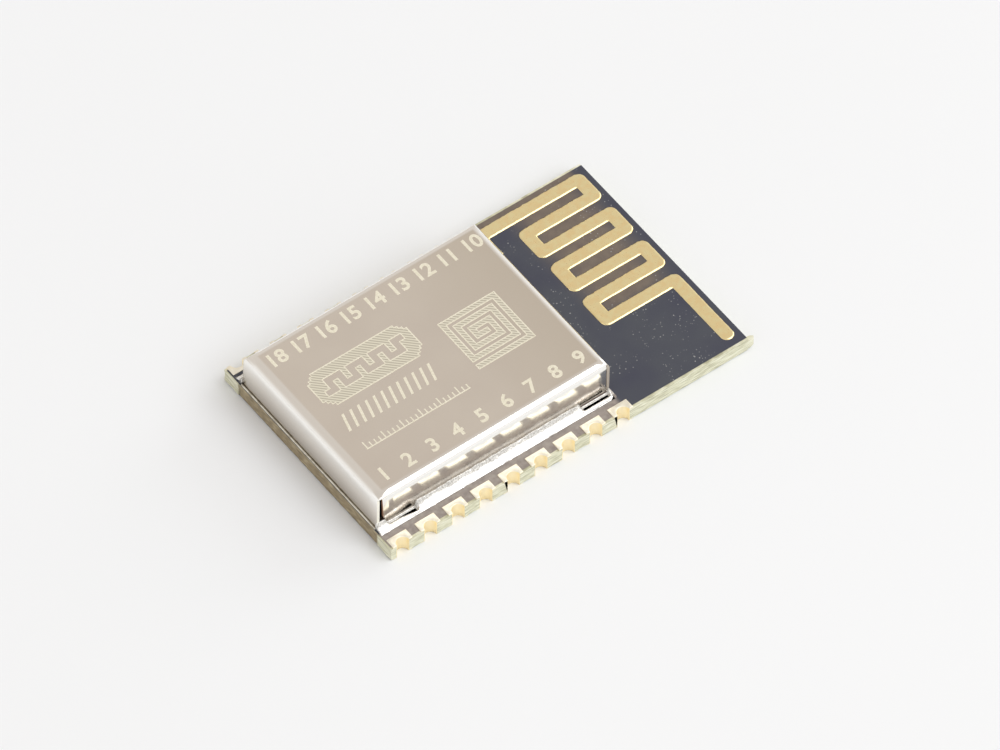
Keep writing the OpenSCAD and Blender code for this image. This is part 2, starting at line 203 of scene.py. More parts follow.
# ---- Board
# Glass-cloth laminate, 0.74 mm thick without its films. It was milled along the pads and
# snapped out of its panel at the near end, which left two tabs, a ragged edge and a stub.

body = "root"
nodes = frame["nodes"]
board_low, board_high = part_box("pcb_substrate")
mask_low, mask_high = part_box("solder_mask_top")
near_x, far_x = mask_low.x, mask_high.x
side_y = board_high.y
face_z = mask_low.z
skin_z = mask_high.z


def copy_of(cad_node):
    """A CAD node's mesh as one merged skin, to be worked on."""
    bm = bmesh.new()
    bm.from_mesh(nodes[cad_node].data)
    bmesh.ops.remove_doubles(bm, verts=bm.verts, dist=0.0005 * MM)
    return bm


def ragged(place, size, seed=0):
    """A smooth random value from -1 to 1 at a place, with lumps of that size."""
    return noise.noise(Vector(place) / size + Vector((seed * 17.3, seed * 5.7, seed * 9.1)))


def slice_up(bm, axis, cuts):
    """Cuts a mesh along planes square to an axis."""
    for cut in cuts:
        bmesh.ops.bisect_plane(
            bm, geom=bm.verts[:] + bm.edges[:] + bm.faces[:], dist=0.004 * MM,
            plane_co=axis * cut, plane_no=axis)


def steps(low, high, step):
    """Evenly spaced values inside a range."""
    count = max(1, round((high - low) / step))
    return [low + (high - low) * i / count for i in range(1, count)]


bm = copy_of("pcb_substrate")
slice_up(bm, UP, steps(board_low.z, board_high.z, 0.12 * MM))
slice_up(bm, Vector((0, 1, 0)), steps(-side_y, side_y, 0.16 * MM))
slice_up(bm, Vector((1, 0, 0)), steps(near_x, far_x, 0.2 * MM))
snap_depth = 0.10 * MM
mill_depth = 0.008 * MM
pad_at = [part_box(f"pad_{n:02d}") for n in range(1, 10)]
pad_at = [(low.x + high.x) / 2 for low, high in pad_at]
for v in bm.verts:
    low = (v.co.z - board_low.z) / (board_high.z - board_low.z)
    if v.co.x < near_x + 0.02 * MM:
        on_tab = abs(v.co.y) > side_y - 1.06 * MM
        tear = 0.5 + 0.5 * ragged(v.co, 0.35 * MM) + 0.35 * ragged(v.co, 0.11 * MM, 3)
        if on_tab:
            v.co.x = max(board_low.x, v.co.x + 0.5 * snap_depth * tear)
        else:
            v.co.x += snap_depth * (0.15 - 0.75 * tear * (1 - low) + 0.25 * tear)
            v.co.x = max(board_low.x, v.co.x)
        if low < 0.02:
            v.co.z += 0.05 * MM * max(0, ragged(v.co, 0.4 * MM, 5))
    elif abs(v.co.y) > side_y - 0.01 * MM:
        if min(abs(v.co.x - x) for x in pad_at) > 0.6 * MM:
            side = math.copysign(1, v.co.y)
            v.co.y -= side * mill_depth * (1 + ragged(v.co, 0.15 * MM, 7))
    elif abs(v.co.x - far_x) < 0.01 * MM:
        v.co.x -= 0.02 * MM * (1 + ragged(v.co, 0.2 * MM, 9))

bmesh.ops.triangulate(bm, faces=[f for f in bm.faces if len(f.verts) > 4])

laminate, tree, shader = new_finish("glass_laminate", Roughness=0.55)
place = node(tree, "ShaderNodeTexCoord")
split = node(tree, "ShaderNodeSeparateXYZ")
tree.links.new(place.outputs["Object"], split.inputs[0])
fibres = mottle(tree, 0.05 * MM, 3.0, (12, 12, 1))
pale = ramp(tree, fibres, [(0.35, (0.46, 0.45, 0.31)), (0.5, (0.68, 0.67, 0.49)),
                           (0.68, (0.86, 0.86, 0.72))])
resin = ramp(tree, mottle(tree, 0.09 * MM, 3.0, (1, 5, 1)),
             [(0.3, (0.18, 0.14, 0.08)), (0.55, (0.34, 0.27, 0.16)), (0.75, (0.56, 0.49, 0.31))])
snapped = node(tree, "ShaderNodeMapRange", From_Min=near_x + 0.03 * MM,
               From_Max=near_x + 0.12 * MM, To_Min=1.0, To_Max=0.0)
tree.links.new(split.outputs["X"], snapped.inputs["Value"])
reach = node(tree, "ShaderNodeMath", operation="ABSOLUTE")
tree.links.new(split.outputs["Y"], reach.inputs[0])
tabless = node(tree, "ShaderNodeMapRange", From_Min=side_y - 1.15 * MM,
               From_Max=side_y - 0.95 * MM, To_Min=1.0, To_Max=0.0)
tree.links.new(reach.outputs[0], tabless.inputs["Value"])
brown = node(tree, "ShaderNodeMath", operation="MULTIPLY")
tree.links.new(snapped.outputs[0], brown.inputs[0])
tree.links.new(tabless.outputs[0], brown.inputs[1])
tree.links.new(blend_colours(tree, brown.outputs[0], pale, resin), shader.inputs["Base Color"])
emboss(tree, shader, mottle(tree, 0.04 * MM, 3.0, (6, 6, 1)), 0.012 * MM)
board = new_piece("board_laminate", bm, laminate, smooth=False)
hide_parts("pcb_substrate")
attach(board, body)

# ---- Solder mask
# A dark blue-grey film on both faces, satin and a little uneven. It looks browner between
# the turns of the antenna, and pale dust lies on its open areas.

mask_paint, tree, shader = new_finish("mask_film", Roughness=0.32)
place = node(tree, "ShaderNodeTexCoord")
split = node(tree, "ShaderNodeSeparateXYZ")
tree.links.new(place.outputs["Object"], split.inputs[0])
trace_low, trace_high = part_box("antenna_trace")


def band(tree, value, low, high, soft):
    """1 between low and high, fading to 0 over soft outside them."""
    far = node(tree, "ShaderNodeMath", operation="SUBTRACT")
    tree.links.new(value, far.inputs[0])
    far.inputs[1].default_value = (low + high) / 2
    size = node(tree, "ShaderNodeMath", operation="ABSOLUTE")
    tree.links.new(far.outputs[0], size.inputs[0])
    fade = node(tree, "ShaderNodeMapRange", From_Min=(high - low) / 2,
                From_Max=(high - low) / 2 + soft, To_Min=1.0, To_Max=0.0)
    fade.interpolation_type = "SMOOTHSTEP"
    tree.links.new(size.outputs[0], fade.inputs["Value"])
    return fade.outputs[0]


def both(tree, first, second, how="MULTIPLY"):
    made = node(tree, "ShaderNodeMath", operation=how)
    tree.links.new(first, made.inputs[0])
    tree.links.new(second, made.inputs[1])
    return made.outputs[0]


loops = both(tree, band(tree, split.outputs["X"], 6.4 * MM, 7.9 * MM, 1.7 * MM),
             band(tree, split.outputs["Y"], -0.9 * MM, 6.2 * MM, 0.9 * MM))
rear = both(tree, band(tree, split.outputs["X"], 3.0 * MM, 8.9 * MM, 0.4 * MM),
            band(tree, split.outputs["Y"], 5.5 * MM, 6.2 * MM, 0.3 * MM))
warm = both(tree, loops, rear, "MAXIMUM")
cool = ramp(tree, mottle(tree, 2.5 * MM, 2.0), [(0.35, (0.048, 0.052, 0.081)),
                                                (0.65, (0.063, 0.070, 0.090))])
brownish = ramp(tree, mottle(tree, 0.5 * MM, 2.0), [(0.3, (0.145, 0.115, 0.098)),
                                                    (0.7, (0.185, 0.150, 0.120))])
haze = both(tree, band(tree, split.outputs["X"], near_x, 2.9 * MM, 0.3 * MM),
            band(tree, split.outputs["Y"], -side_y, -5.2 * MM, 0.1 * MM))
residue = ramp(tree, mottle(tree, 0.25 * MM, 3.0), [(0.3, (0.24, 0.205, 0.19)), (0.7, (0.36, 0.32, 0.285))])
open_mask = blend_colours(tree, warm, cool, brownish)
clear = blend_colours(tree, haze, open_mask, residue)
where = node(tree, "ShaderNodeMapping")
where.inputs["Scale"].default_value = [1 / (0.16 * MM)] * 3
grit = node(tree, "ShaderNodeTexVoronoi", voronoi_dimensions="3D", Scale=1.0)
tree.links.new(place.outputs["Object"], where.inputs["Vector"])
tree.links.new(where.outputs[0], grit.inputs["Vector"])
specks = ramp(tree, grit.outputs["Distance"], [(0.13, 0.9), (0.22, 0.0)])
patches = ramp(tree, mottle(tree, 1.3 * MM, 3.0), [(0.5, 0.0), (0.62, 1.0)])
dusty = both(tree, specks, both(tree, patches, band(tree, split.outputs["X"], 3.6 * MM, 9.4 * MM, 0.2 * MM)))
tree.links.new(blend_colours(tree, dusty, clear, (0.42, 0.43, 0.43)), shader.inputs["Base Color"])
emboss(tree, shader, mottle(tree, 0.12 * MM, 3.0), 0.0015 * MM)
for name in ("solder_mask_top", "solder_mask_bottom"):
    on_object(nodes[name], mask_paint)

# ---- Gold: antenna and pads
# Copper, plated with nickel and pale gold. Etching leaves the trace's edges sloped and a
# little ragged, and they catch the light as thin bright lines.



def gilded(name, dark, light, rough):
    """Gold plate between two tones, with a fine satin grain."""
    made, tree, shader = new_finish(name, Metallic=1.0)
    tree.links.new(ramp(tree, mottle(tree, 0.25 * MM, 3.0), [(0.35, dark), (0.65, light)]),
                   shader.inputs["Base Color"])
    tree.links.new(ramp(tree, mottle(tree, 0.06 * MM, 2.0), [(0.3, rough - 0.05), (0.7, rough + 0.05)]),
                   shader.inputs["Roughness"])
    emboss(tree, shader, mottle(tree, 0.05 * MM, 2.0), 0.0006 * MM)
    return made


gold = gilded("gold_plate", (1.0, 0.81, 0.44), (1.0, 0.88, 0.51), 0.32)
# The pads are pale gold on their barrels and painted near-white on their lands' tops: the near-white is a painted
# reflection.
pad_gold = gilded("gold_lands_painted_reflection", (1.0, 0.95, 0.80), (1.0, 0.97, 0.86), 0.5)
tree = pad_gold.node_tree
shader = tree.nodes["Principled BSDF"]
place = node(tree, "ShaderNodeTexCoord")
split = node(tree, "ShaderNodeSeparateXYZ")
tree.links.new(place.outputs["Object"], split.inputs[0])
on_land = node(tree, "ShaderNodeMapRange", From_Min=skin_z, From_Max=trace_high.z - 0.01 * MM)
tree.links.new(split.outputs["Z"], on_land.inputs["Value"])
land_painted_reflection = shader.inputs["Base Color"].links[0].from_socket
tree.links.new(blend_colours(tree, on_land.outputs[0], (1.0, 0.88, 0.60), land_painted_reflection), shader.inputs["Base Color"])

copper_z = trace_high.z


def outline_edges(bm, z):
    """Edges of a flat solid's rim at one height."""
    return [e for e in bm.edges if all(abs(v.co.z - z) < 1e-8 for v in e.verts)
            and any(abs(f.normal.z) < 0.5 for f in e.link_faces)]


bm = copy_of("antenna_trace")
bmesh.ops.dissolve_limit(bm, angle_limit=math.radians(1), verts=bm.verts, edges=bm.edges)
bm.normal_update()
rag_step = 0.13 * MM
for z in (trace_low.z, copper_z):
    for e in outline_edges(bm, z):
        cuts = int(e.calc_length() / rag_step)
        if cuts:
            bmesh.ops.subdivide_edges(bm, edges=[e], cuts=cuts)
bm.normal_update()
shift = {}
for v in bm.verts:
    sides = [f.normal for f in v.link_faces if abs(f.normal.z) < 0.5]
    if sides:
        out = sum(sides, Vector()).normalized()
        flat = Vector((v.co.x, v.co.y, 0))
        rough = 0.030 if out.y > 0.5 else 0.010
        shift[v] = out * (rough * MM * ragged(flat, 0.16 * MM, 1) - 0.004 * MM)
for v, move in shift.items():
    v.co += move
top = [f for f in bm.faces if f.normal.z > 0.9]
for thickness, drop in [(0.008 * MM, 0.040 * MM), (0.032 * MM, 0.026 * MM), (0.03 * MM, 0.008 * MM)]:
    lip = bmesh.ops.inset_region(bm, faces=top, thickness=thickness, depth=0, use_even_offset=True)["faces"]
    for v in {v for f in lip for v in f.verts} - {v for f in top for v in f.verts}:
        v.co.z -= drop
bmesh.ops.triangulate(bm, faces=top)
antenna = new_piece("antenna_gold", bm, gold)
for face in antenna.data.polygons:
    face.use_smooth = 0.2 < face.normal.z < 0.9999
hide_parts("antenna_trace")
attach(antenna, body)

pad_round = 0.02 * MM
for number in range(1, 19):
    name = f"pad_{number:02d}"
    bm = copy_of(name)
    bmesh.ops.dissolve_limit(bm, angle_limit=math.radians(1), verts=bm.verts, edges=bm.edges)
    bm.normal_update()
    sharp = [e for e in bm.edges if len(e.link_faces) == 2
             and e.calc_face_angle(0) > math.radians(50)]
    bmesh.ops.bevel(bm, geom=sharp, affect="EDGES", offset=pad_round, segments=2,
                    profile=0.5, material=-1, clamp_overlap=True)
    pad = new_piece(f"pad_plated_{number:02d}", bm, pad_gold)
    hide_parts(name)
    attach(pad, body)

# ---- Shield can
# One piece of nickel-plated sheet, 0.15 mm thick, folded down on four sides over round bends.
# The end walls run the full width, and the long walls stand between them behind narrow seams.
# It sits a little askew: the antenna end is 0.165 mm higher, and the near wall leans out.

can_low, can_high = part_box("shield_can")
sheet_t = 0.15 * MM
bend_r = 0.38 * MM
bend_steps = 12
wall_steps = 10
closed_steps = 7
seam = 0.13 * MM
can_top = can_high.z - 0.015 * MM
wall_h = 1.89 * MM
end_drop = 0.165 * MM
near_lean = 0.11 * MM
near_out = 0.05 * MM

can_metal, tree, shader = new_finish("can_sheet", Metallic=1.0)
place = node(tree, "ShaderNodeTexCoord")
split = node(tree, "ShaderNodeSeparateXYZ")
tree.links.new(place.outputs["Object"], split.inputs[0])
flat = both(tree, band(tree, split.outputs["X"], can_low.x + 0.6 * MM, can_high.x - 0.45 * MM, 0.15 * MM),
            band(tree, split.outputs["Y"], can_low.y + 0.45 * MM, can_high.y - 0.45 * MM, 0.15 * MM))
brushed = ramp(tree, mottle(tree, 2.5 * MM, 3.0), [(0.3, (0.83, 0.77, 0.70)), (0.7, (0.865, 0.81, 0.735))])
along = node(tree, "ShaderNodeMapRange", From_Min=-2 * MM, From_Max=can_high.x)
tree.links.new(split.outputs["X"], along.inputs["Value"])
dimmed = blend_colours(tree, along.outputs[0], brushed, (0.77, 0.71, 0.62))
up = node(tree, "ShaderNodeMapRange", From_Min=can_low.z, From_Max=can_high.z)
tree.links.new(split.outputs["Z"], up.inputs["Value"])
# The walls and bends are painted by height: darker towards their feet as painted shade, near-white towards the bends
# as painted highlight.
side = ramp(tree, up.outputs[0], [(0.0, (0.50, 0.455, 0.40)), (0.45, (0.82, 0.775, 0.71)), (0.75, (0.96, 0.94, 0.90))])
tree.links.new(blend_colours(tree, flat, side, dimmed), shader.inputs["Base Color"])
tree.links.new(ramp(tree, mottle(tree, 0.2 * MM, 3.0), [(0.3, 0.13), (0.7, 0.19)]),
               shader.inputs["Roughness"])
emboss(tree, shader, mottle(tree, 0.7 * MM, 2.0), 0.003 * MM)

cut_edge, tree, shader = new_finish("cut_edge", Roughness=0.5)
place = node(tree, "ShaderNodeTexCoord")
split = node(tree, "ShaderNodeSeparateXYZ")
tree.links.new(place.outputs["Object"], split.inputs[0])
bare = ramp(tree, mottle(tree, 0.1 * MM), [(0.3, (0.80, 0.78, 0.68)), (0.7, (0.92, 0.91, 0.82))])
stained = ramp(tree, mottle(tree, 0.15 * MM), [(0.3, (0.42, 0.21, 0.13)), (0.7, (0.58, 0.34, 0.22))])
in_seam = band(tree, split.outputs["X"], can_low.x + 0.26 * MM, can_low.x + 0.6 * MM, 0.02 * MM)
# Near the antenna end the cut edges are painted darker grey-brown, as painted shade.
at_far_end = band(tree, split.outputs["X"], can_high.x - 0.3 * MM, can_high.x + 0.1 * MM, 0.02 * MM)
edge_tone = blend_colours(tree, at_far_end, bare, (0.42, 0.37, 0.31))
tree.links.new(blend_colours(tree, in_seam, edge_tone, stained), shader.inputs["Base Color"])

wall_x0 = can_low.x - near_out + near_lean
top_x0, top_x1 = wall_x0 + bend_r, can_high.x - bend_r
top_y0, top_y1 = can_low.y + bend_r, can_high.y - bend_r
can_middle = Vector(((top_x0 + top_x1) / 2, (top_y0 + top_y1) / 2, can_top))


def face_height(x):
    """Height of the can's top face, which slopes down towards the near end."""
    return can_top - end_drop * (can_high.x - x) / (can_high.x - can_low.x)


bm = bmesh.new()
bmesh.ops.create_grid(bm, x_segments=40, y_segments=30, size=0.5)
bmesh.ops.scale(bm, verts=bm.verts, vec=(top_x1 - top_x0, top_y1 - top_y0, 1))
bmesh.ops.translate(bm, verts=bm.verts, vec=can_middle)


def rim_at(axis, value):
    """Edges of the flat top along one of its sides."""
    return [e for e in bm.edges if e.is_boundary
            and all(abs(v.co[axis] - value) < 1e-7 for v in e.verts)]


def drawn_out(strip):
    """Extrudes a strip's free edges and returns the new ones with their vertices in order."""
    made = bmesh.ops.extrude_edge_only(bm, edges=strip)["geom"]
    edges = [g for g in made if isinstance(g, bmesh.types.BMEdge) and all(v in made for v in g.verts)]
    verts = [g for g in made if isinstance(g, bmesh.types.BMVert)]
    return edges, sorted(verts, key=lambda v: (v.co.x, v.co.y))


# Each side: its edges, the bend's axis, its own direction, and whether seams cut its ends
sides = [
    (rim_at(1, top_y0), (0, top_y0), Vector((1, 0, 0)), Vector((1, 0, 0)), True),
    (rim_at(1, top_y1), (0, top_y1), Vector((-1, 0, 0)), Vector((1, 0, 0)), True),
    (rim_at(0, top_x0), (top_x0, 0), Vector((0, -1, 0)), Vector((0, 1, 0)), False),
    (rim_at(0, top_x1), (top_x1, 0), Vector((0, 1, 0)), Vector((0, 1, 0)), False)]
seam_x0 = wall_x0 + sheet_t + seam
seam_x1 = can_high.x - sheet_t - 0.02 * MM
for strip, centre, turn, along, cut_ends in sides:
    for step in range(1, bend_steps + 1):
        strip, ring = drawn_out(strip)
        bmesh.ops.rotate(bm, verts=ring, cent=(*centre, can_top - bend_r),
                         matrix=Matrix.Rotation(math.pi / 2 / bend_steps, 3, turn))
        wider = (math.sin(math.pi / 2 * step / bend_steps)
                 - math.sin(math.pi / 2 * (step - 1) / bend_steps))
        ring[0].co -= along * bend_r * wider
        ring[-1].co += along * bend_r * wider
        if cut_ends and step > closed_steps:
            ring[0].co.x = seam_x0
            ring[-1].co.x = seam_x1
    for step in range(wall_steps):
        strip, ring = drawn_out(strip)
        bmesh.ops.translate(bm, verts=ring, vec=(0, 0, -(wall_h - bend_r) / wall_steps))
bmesh.ops.remove_doubles(bm, verts=bm.verts, dist=0.001 * MM)
for v in bm.verts:
    fall = (can_top - v.co.z) / wall_h
    if abs(v.co.x - seam_x0) < 1e-8:
        v.co.x += 0.125 * MM * fall
    if v.co.x < top_x0:
        if v.co.y < top_y0 and fall > 0.1:
            v.co.y += (0.10 - 0.13 * fall) * MM
        v.co.x -= near_lean * fall
    v.co.z += face_height(v.co.x) - can_top
bmesh.ops.recalc_face_normals(bm, faces=bm.faces)
can = new_piece("can_folded", bm, can_metal)
can.data.materials.append(cut_edge)
thicken = can.modifiers.new("sheet", "SOLIDIFY")
thicken.thickness = sheet_t
thicken.offset = -1
thicken.material_offset_rim = 1
edge_round = can.modifiers.new("edges", "BEVEL")
edge_round.width = 0.03 * MM
edge_round.segments = 2
edge_round.limit_method = "ANGLE"
edge_round.angle_limit = math.radians(60)
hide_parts("shield_can")
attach(can, body)

# ---- Ground ring and solder
# A tinned copper ring under the can's walls, painted dark brown in the two slots along each long wall:
# painted shade of the gap under the wall's foot. Between the slots the solder climbs the wall. It is a
# low ragged line at the short ends, painted pale cream there as a painted reflection.

ring_low, ring_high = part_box("ground_ring")
ring_z = ring_high.z
slots_x = [(can_low.x + 0.44 * MM, can_low.x + 2.02 * MM), (can_high.x - 1.64 * MM, can_high.x - 0.12 * MM)]
slot_out = 0.30 * MM


def tinned(name, grain):
    """Bright solder, dull in places, with a skin that wrinkles over grain."""
    made, tree, shader = new_finish(name, Metallic=1.0)
    tree.links.new(ramp(tree, mottle(tree, 0.3 * MM, 3.0), [(0.3, (0.84, 0.82, 0.79)), (0.7, (0.95, 0.94, 0.92))]),
                   shader.inputs["Base Color"])
    tree.links.new(ramp(tree, mottle(tree, 0.1 * MM, 2.0), [(0.3, 0.18), (0.7, 0.36)]), shader.inputs["Roughness"])
    emboss(tree, shader, mottle(tree, grain, 3.0), 0.1 * grain)
    return made, tree, shader


tin = tinned("bright_tin", 0.14 * MM)[0]
for name in ("radio_chip_terminals", "radio_chip_paddle"):
    on_object(nodes[name], tin)

ring_tin_slot_shade, tree, shader = tinned("ring_tin", 0.14 * MM)
place = node(tree, "ShaderNodeTexCoord")
split = node(tree, "ShaderNodeSeparateXYZ")
tree.links.new(place.outputs["Object"], split.inputs[0])
open_x = both(tree, band(tree, split.outputs["X"], *slots_x[0], 0.05 * MM),
              band(tree, split.outputs["X"], *slots_x[1], 0.05 * MM), "MAXIMUM")
open_y = band(tree, split.outputs["Y"], can_low.y - 0.25 * MM, can_low.y + 0.5 * MM, 0.03 * MM)
slot_painted_shade = both(tree, open_x, open_y)
outer = band(tree, split.outputs["Y"], ring_low.y, can_low.y - 0.24 * MM, 0.02 * MM)
metal = shader.inputs["Base Color"].links[0].from_socket
coated = blend_colours(tree, outer, metal, (0.30, 0.265, 0.24))
# In the slots the ring is painted dark brown and not metallic: painted shade of the gap between the wall's foot and
# the solder.
tree.links.new(blend_colours(tree, slot_painted_shade, coated, (0.36, 0.26, 0.22)), shader.inputs["Base Color"])
tree.links.new(ramp(tree, both(tree, slot_painted_shade, outer, "MAXIMUM"), [(0.0, 1.0), (1.0, 0.0)]), shader.inputs["Metallic"])
on_object(nodes["ground_ring"], ring_tin_slot_shade)


can_mid = (can_low.y + can_high.y) / 2
climbing, tree, shader = tinned("solder_climbing", 0.10 * MM)
place = node(tree, "ShaderNodeTexCoord")
split = node(tree, "ShaderNodeSeparateXYZ")
tree.links.new(place.outputs["Object"], split.inputs[0])
from_mid = node(tree, "ShaderNodeMath", operation="SUBTRACT")
from_mid.inputs[1].default_value = can_mid
tree.links.new(split.outputs["Y"], from_mid.inputs[0])
apart = node(tree, "ShaderNodeMath", operation="ABSOLUTE")
tree.links.new(from_mid.outputs[0], apart.inputs[0])
half_can = can_high.y - can_mid
by_wall = node(tree, "ShaderNodeMapRange", From_Min=half_can + 0.13 * MM, From_Max=half_can + 0.24 * MM,
               To_Min=1.0, To_Max=0.0)
tree.links.new(apart.outputs[0], by_wall.inputs["Value"])
shiny = shader.inputs["Base Color"].links[0].from_socket
speckled = ramp(tree, mottle(tree, 0.06 * MM, 3.0), [(0.35, (0.42, 0.40, 0.37)), (0.6, (0.74, 0.73, 0.70))])
tree.links.new(blend_colours(tree, by_wall.outputs[0], shiny, speckled), shader.inputs["Base Color"])
tree.links.new(ramp(tree, by_wall.outputs[0], [(0.0, 1.0), (1.0, 0.45)]), shader.inputs["Metallic"])
# The solder at the short ends is a dull finish painted pale cream: the pale cream is a painted reflection.
dull, tree, shader = new_finish("solder_dull_painted_pale", Roughness=0.45, Metallic=0.15)
tree.links.new(ramp(tree, mottle(tree, 0.25 * MM, 3.0), [(0.35, (0.55, 0.50, 0.40)), (0.6, (0.85, 0.82, 0.72))]),
               shader.inputs["Base Color"])


def ridge(name, start, along, out, length, width, height_at, steps_along, steps_out, metal):
    """Solder laid on the ring: height_at(run, reach) is its height in metres at a point that
    lies run along it and reach across it."""
    bm = bmesh.new()
    bmesh.ops.create_grid(bm, x_segments=steps_along, y_segments=steps_out, size=0.5)
    for v in bm.verts:
        run, reach = (v.co.x + 0.5) * length, (v.co.y + 0.5) * width
        v.co = start + along * run + out * reach + UP * height_at(run, reach)
    made = bmesh.ops.extrude_edge_only(bm, edges=[e for e in bm.edges if e.is_boundary])["geom"]
    for v in made:
        if isinstance(v, bmesh.types.BMVert):
            v.co.z = ring_z - 0.01 * MM
    bmesh.ops.contextual_create(bm, geom=[e for e in bm.edges if e.is_boundary])
    bmesh.ops.recalc_face_normals(bm, faces=bm.faces)
    piece = new_piece(name, bm, metal)
    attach(piece, body)
    return piece


def dome(part):
    """A round hump over 0 to 1, and 0 outside."""
    return math.sin(math.pi * part) ** 0.6 if 0 < part < 1 else 0.0


def step_up(value, low, high):
    """0 below low, 1 above high, smooth between."""
    part = min(1, max(0, (value - low) / (high - low)))
    return part * part * (3 - 2 * part)


long_start = can_low.x - 0.1 * MM
long_end = can_high.x + 0.0 * MM
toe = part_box("solder_front")[0].y - can_low.y


def long_height(seed):
    def height_at(run, reach):
        x = long_start + run
        in_slot = max(step_up(x, low - 0.05 * MM, low + 0.1 * MM) * step_up(-x, -high - 0.08 * MM, -high + 0.02 * MM)
                      for low, high in slots_x)
        left = (x - slots_x[0][0]) / (slots_x[0][1] - slots_x[0][0])
        inner = in_slot * slot_out * (min(1, max(0.35, left)) if x < 0 else 0.75)
        waver = ragged((x, 0, 0), 0.5 * MM, seed)
        end_round = math.sqrt(max(0, 1 - (max(0, x - long_end + 0.3 * MM) / (0.3 * MM)) ** 2))
        outer = (-toe) * end_round * (0.95 + 0.05 * waver)
        hump = 0.115 * MM * dome((reach - inner) / max(1e-9, outer - inner)) * (1 + 0.25 * waver)
        climb = (1 - in_slot) * (0.36 + 0.05 * ragged((x, 0, 0), 0.35 * MM, seed + 1)) * MM
        climb *= max(0, 1 - reach / (0.32 * MM)) ** 2.0
        lip = in_slot * 0.085 * MM * math.sqrt(max(0, 1 - (reach / (0.085 * MM)) ** 2))
        grain = 0.012 * MM * ragged((x, reach, 0), 0.09 * MM, seed + 2) * min(1, (hump + climb) / (0.05 * MM))
        return max(-0.004 * MM, hump + (climb + lip) * min(1, end_round * 2) + grain)
    return height_at


for name, wall_y, out_y, seed in (("solder_front", can_low.y, -1, 11), ("solder_rear", can_high.y, 1, 21)):
    piece = ridge(name + "_run", Vector((long_start, wall_y, ring_z)), Vector((1, 0, 0)),
                  Vector((0, out_y, 0)), long_end - long_start, -toe, long_height(seed), 220, 26, climbing)
    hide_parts(name)


def end_height(width, seed):
    def height_at(run, reach):
        waver = ragged((0, run, 0), 0.45 * MM, seed) + 0.5 * ragged((0, run, 0), 0.13 * MM, seed + 1)
        return (0.035 + 0.018 * waver) * MM * dome(reach / width)
    return height_at


near_low, near_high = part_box("solder_near_end")
far_low, far_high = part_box("solder_antenna_end")
for name, x, out_x, low, high, seed in (
        ("solder_near_end", can_low.x - near_out, -1, near_low, near_high, 31),
        ("solder_antenna_end", can_high.x, 1, far_low, far_high, 41)):
    width = 0.085 * MM
    piece = ridge(name + "_run", Vector((x, low.y, ring_z)), Vector((0, 1, 0)), Vector((out_x, 0, 0)),
                  high.y - low.y, width, end_height(width, seed), 150, 8, dull)
    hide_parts(name)

# ---- Etched marks
# Plain marks lasered into the can's top: the pads' numbers beside the pads, a square spiral,
# a square wave left bare in a hatched band, a row of slanted bars and a graduated line.

mark_h = 0.005 * MM
stroke = 0.06 * MM

etched, tree, shader = new_finish("etched_line", Roughness=0.6)
tree.links.new(ramp(tree, mottle(tree, 0.08 * MM, 2.0), [(0.3, (0.72, 0.68, 0.54)), (0.7, (0.84, 0.80, 0.67))]),
               shader.inputs["Base Color"])

hatched, tree, shader = new_finish("etched_hatch", Roughness=0.5)
place = node(tree, "ShaderNodeTexCoord")
lines = node(tree, "ShaderNodeTexWave", wave_type="BANDS", bands_direction="DIAGONAL", Scale=1 / (0.30 * MM),
             Distortion=0.0)
tree.links.new(place.outputs["Object"], lines.inputs["Vector"])
tree.links.new(ramp(tree, lines.outputs["Fac"], [(0.3, (0.46, 0.42, 0.34)), (0.6, (0.70, 0.67, 0.55))]),
               shader.inputs["Base Color"])


def etch(name, bm, material):
    """Lays a flat shape on the can's top as a closed skin of a mark's height."""
    faces = bm.faces[:]
    made = bmesh.ops.extrude_face_region(bm, geom=faces, use_keep_orig=True)["geom"]
    upper = {g for g in made if isinstance(g, bmesh.types.BMVert)}
    for v in bm.verts:
        v.co.z = face_height(v.co.x) + (mark_h if v in upper else -0.002 * MM)
    bmesh.ops.recalc_face_normals(bm, faces=bm.faces)
    piece = new_piece(name, bm, material, smooth=False)
    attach(piece, body)


def joined(parts):
    """Several flat shapes as one bmesh."""
    whole = bmesh.new()
    for bm in parts:
        mesh = bpy.data.meshes.new("part")
        bm.to_mesh(mesh)
        bm.free()
        whole.from_mesh(mesh)
        bpy.data.meshes.remove(mesh)
    return whole


def bar(x, y, width, height, slant=0.0):
    """A flat bar centred at a place, its top end moved sideways by slant."""
    bm = bmesh.new()
    bmesh.ops.create_grid(bm, x_segments=1, y_segments=1, size=0.5)
    for v in bm.verts:
        v.co = Vector((x + v.co.x * width + v.co.y * slant, y + v.co.y * height, 0))
    return bm


def cells(columns, rows, size, centre, keep):
    """A flat sheet of square cells, of which keep(column, row) stay."""
    bm = bmesh.new()
    bmesh.ops.create_grid(bm, x_segments=columns, y_segments=rows, size=0.5)
    lost = [f for f in bm.faces if not keep(int((f.calc_center_median().x + 0.5) * columns),
                                            int((f.calc_center_median().y + 0.5) * rows))]
    bmesh.ops.delete(bm, geom=lost, context="FACES")
    bmesh.ops.scale(bm, verts=bm.verts, vec=(columns * size, rows * size, 1))
    bmesh.ops.translate(bm, verts=bm.verts, vec=centre)
    return bm


def rimmed(name, bm):
    """Etches a hatched shape with a plain stroke round it."""
    rim = set(bmesh.ops.inset_region(bm, faces=bm.faces[:], thickness=stroke, use_boundary=True)["faces"])
    line = bm.copy()
    rim_places = {f.index for f in rim}
    bmesh.ops.delete(line, geom=[f for f in line.faces if f.index not in rim_places], context="FACES")
    bmesh.ops.delete(bm, geom=list(rim), context="FACES")
    etch(name + "_rim", line, etched)
    etch(name + "_hatch", bm, hatched)


